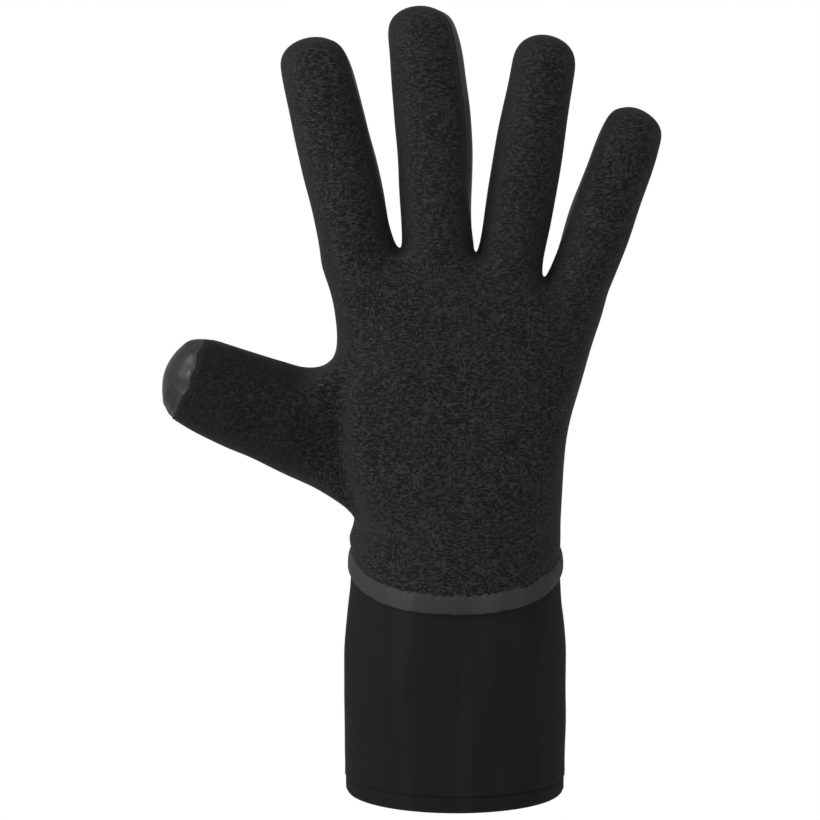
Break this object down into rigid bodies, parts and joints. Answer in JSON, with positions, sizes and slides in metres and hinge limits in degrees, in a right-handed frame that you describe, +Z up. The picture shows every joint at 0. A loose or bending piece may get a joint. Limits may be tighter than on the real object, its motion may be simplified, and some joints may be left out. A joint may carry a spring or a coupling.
{
  "type": "diving glove",
  "caption": "Right-hand neoprene diving glove with a long cuff, fabric back and smooth rubber palm, held open as worn.",
  "frame": {"origin": "centre of the wrist opening, in the plane of the hem", "axes": "+Z up to the fingertips, -Y out of the back of the hand, +Y out of the palm, +X away from the thumb"},
  "size_m": [0.1795, 0.055, 0.2851],
  "materials": {
    "knit_fabric": "fuzzy black knit, matt",
    "palm_rubber": "smooth black rubber, satin",
    "band_rubber": "smooth dark grey rubber tape, satin",
    "cuff_skin": "smooth-skin black neoprene, matt",
    "hem_skin": "cut edge of black neoprene, matt"
  },
  "bodies": {
    "root": {"back_panel": "knit_fabric", "palm_panel": "palm_rubber", "wrist_seam_band": "band_rubber", "cuff": "cuff_skin", "cuff_hem": "hem_skin"}
  },
  "joints": []
}
